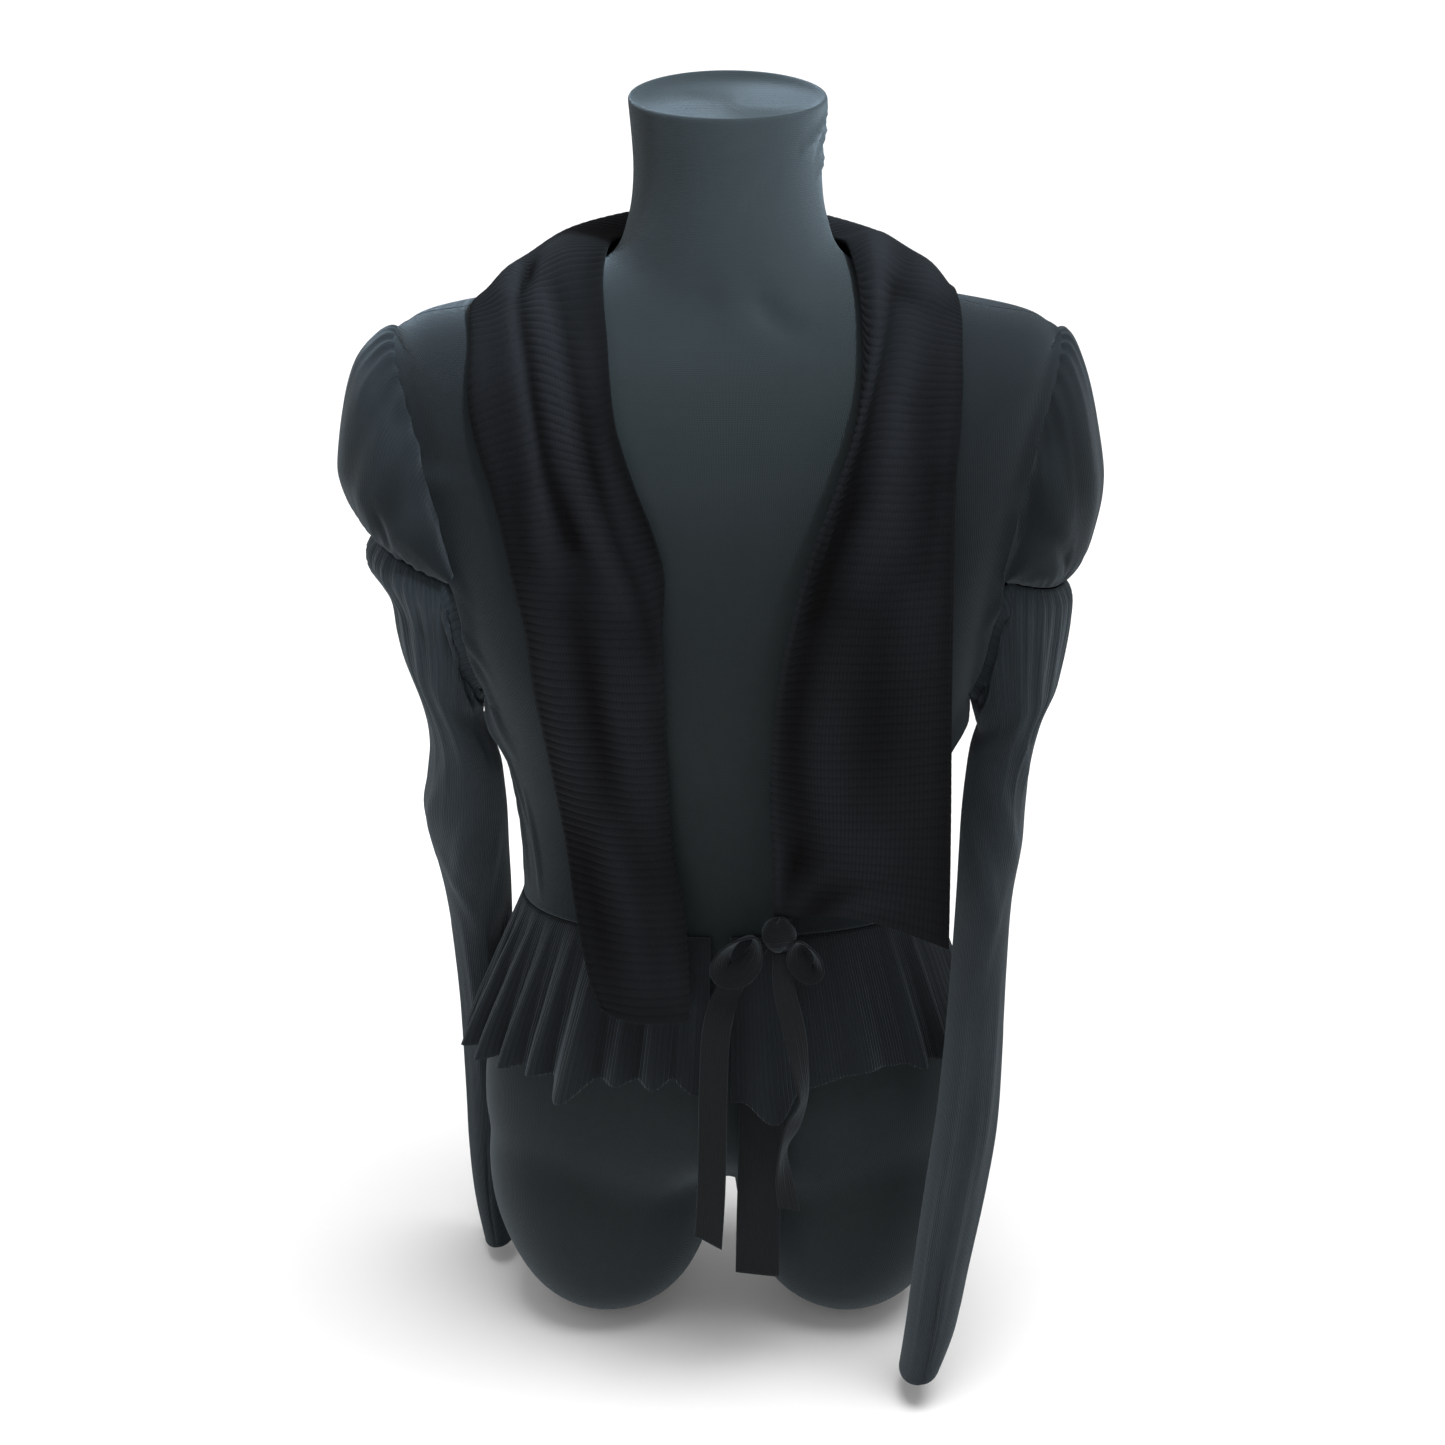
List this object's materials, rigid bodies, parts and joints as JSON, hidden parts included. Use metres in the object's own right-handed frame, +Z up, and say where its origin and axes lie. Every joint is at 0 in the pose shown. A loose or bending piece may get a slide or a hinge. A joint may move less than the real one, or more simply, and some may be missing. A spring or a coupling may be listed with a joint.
{
  "type": "shawl-collar cardigan on a limbless dress form",
  "caption": "Open knitted cardigan with ribbed shawl collar, puffed sleeves, fluted peplum and tied waist bow, worn by a limbless dress form that stands on its thigh stumps.",
  "frame": {"origin": "centre of the part's footprint, on the ground under the form's flat soles", "axes": "+Z up through the neck, -Y towards the cardigan's front, +X to the right as seen from the front"},
  "size_m": [0.4574, 0.2834, 0.7828],
  "materials": {
    "black_jersey": "matt fine jersey",
    "black_fine_rib": "matt fine rib knit",
    "black_wide_rib": "matt wide rib knit",
    "ribbed_tape": "matt ribbed tape",
    "form_cover": "matt jersey cover"
  },
  "bodies": {
    "root": {"back": "black_jersey", "collar": "black_wide_rib", "form": "form_cover", "front_left": "black_jersey", "front_right": "black_jersey", "peplum_back": "black_fine_rib", "peplum_left": "black_fine_rib", "peplum_right": "black_fine_rib", "sleeve_head_left": "black_jersey", "sleeve_head_right": "black_jersey", "sleeve_left": "black_fine_rib", "sleeve_right": "black_fine_rib", "tie_end_inner": "ribbed_tape", "tie_knot": "ribbed_tape", "tie_loop_left": "ribbed_tape", "tie_loop_right": "ribbed_tape", "tie_tail_left": "ribbed_tape", "tie_tail_right": "ribbed_tape"}
  },
  "joints": []
}
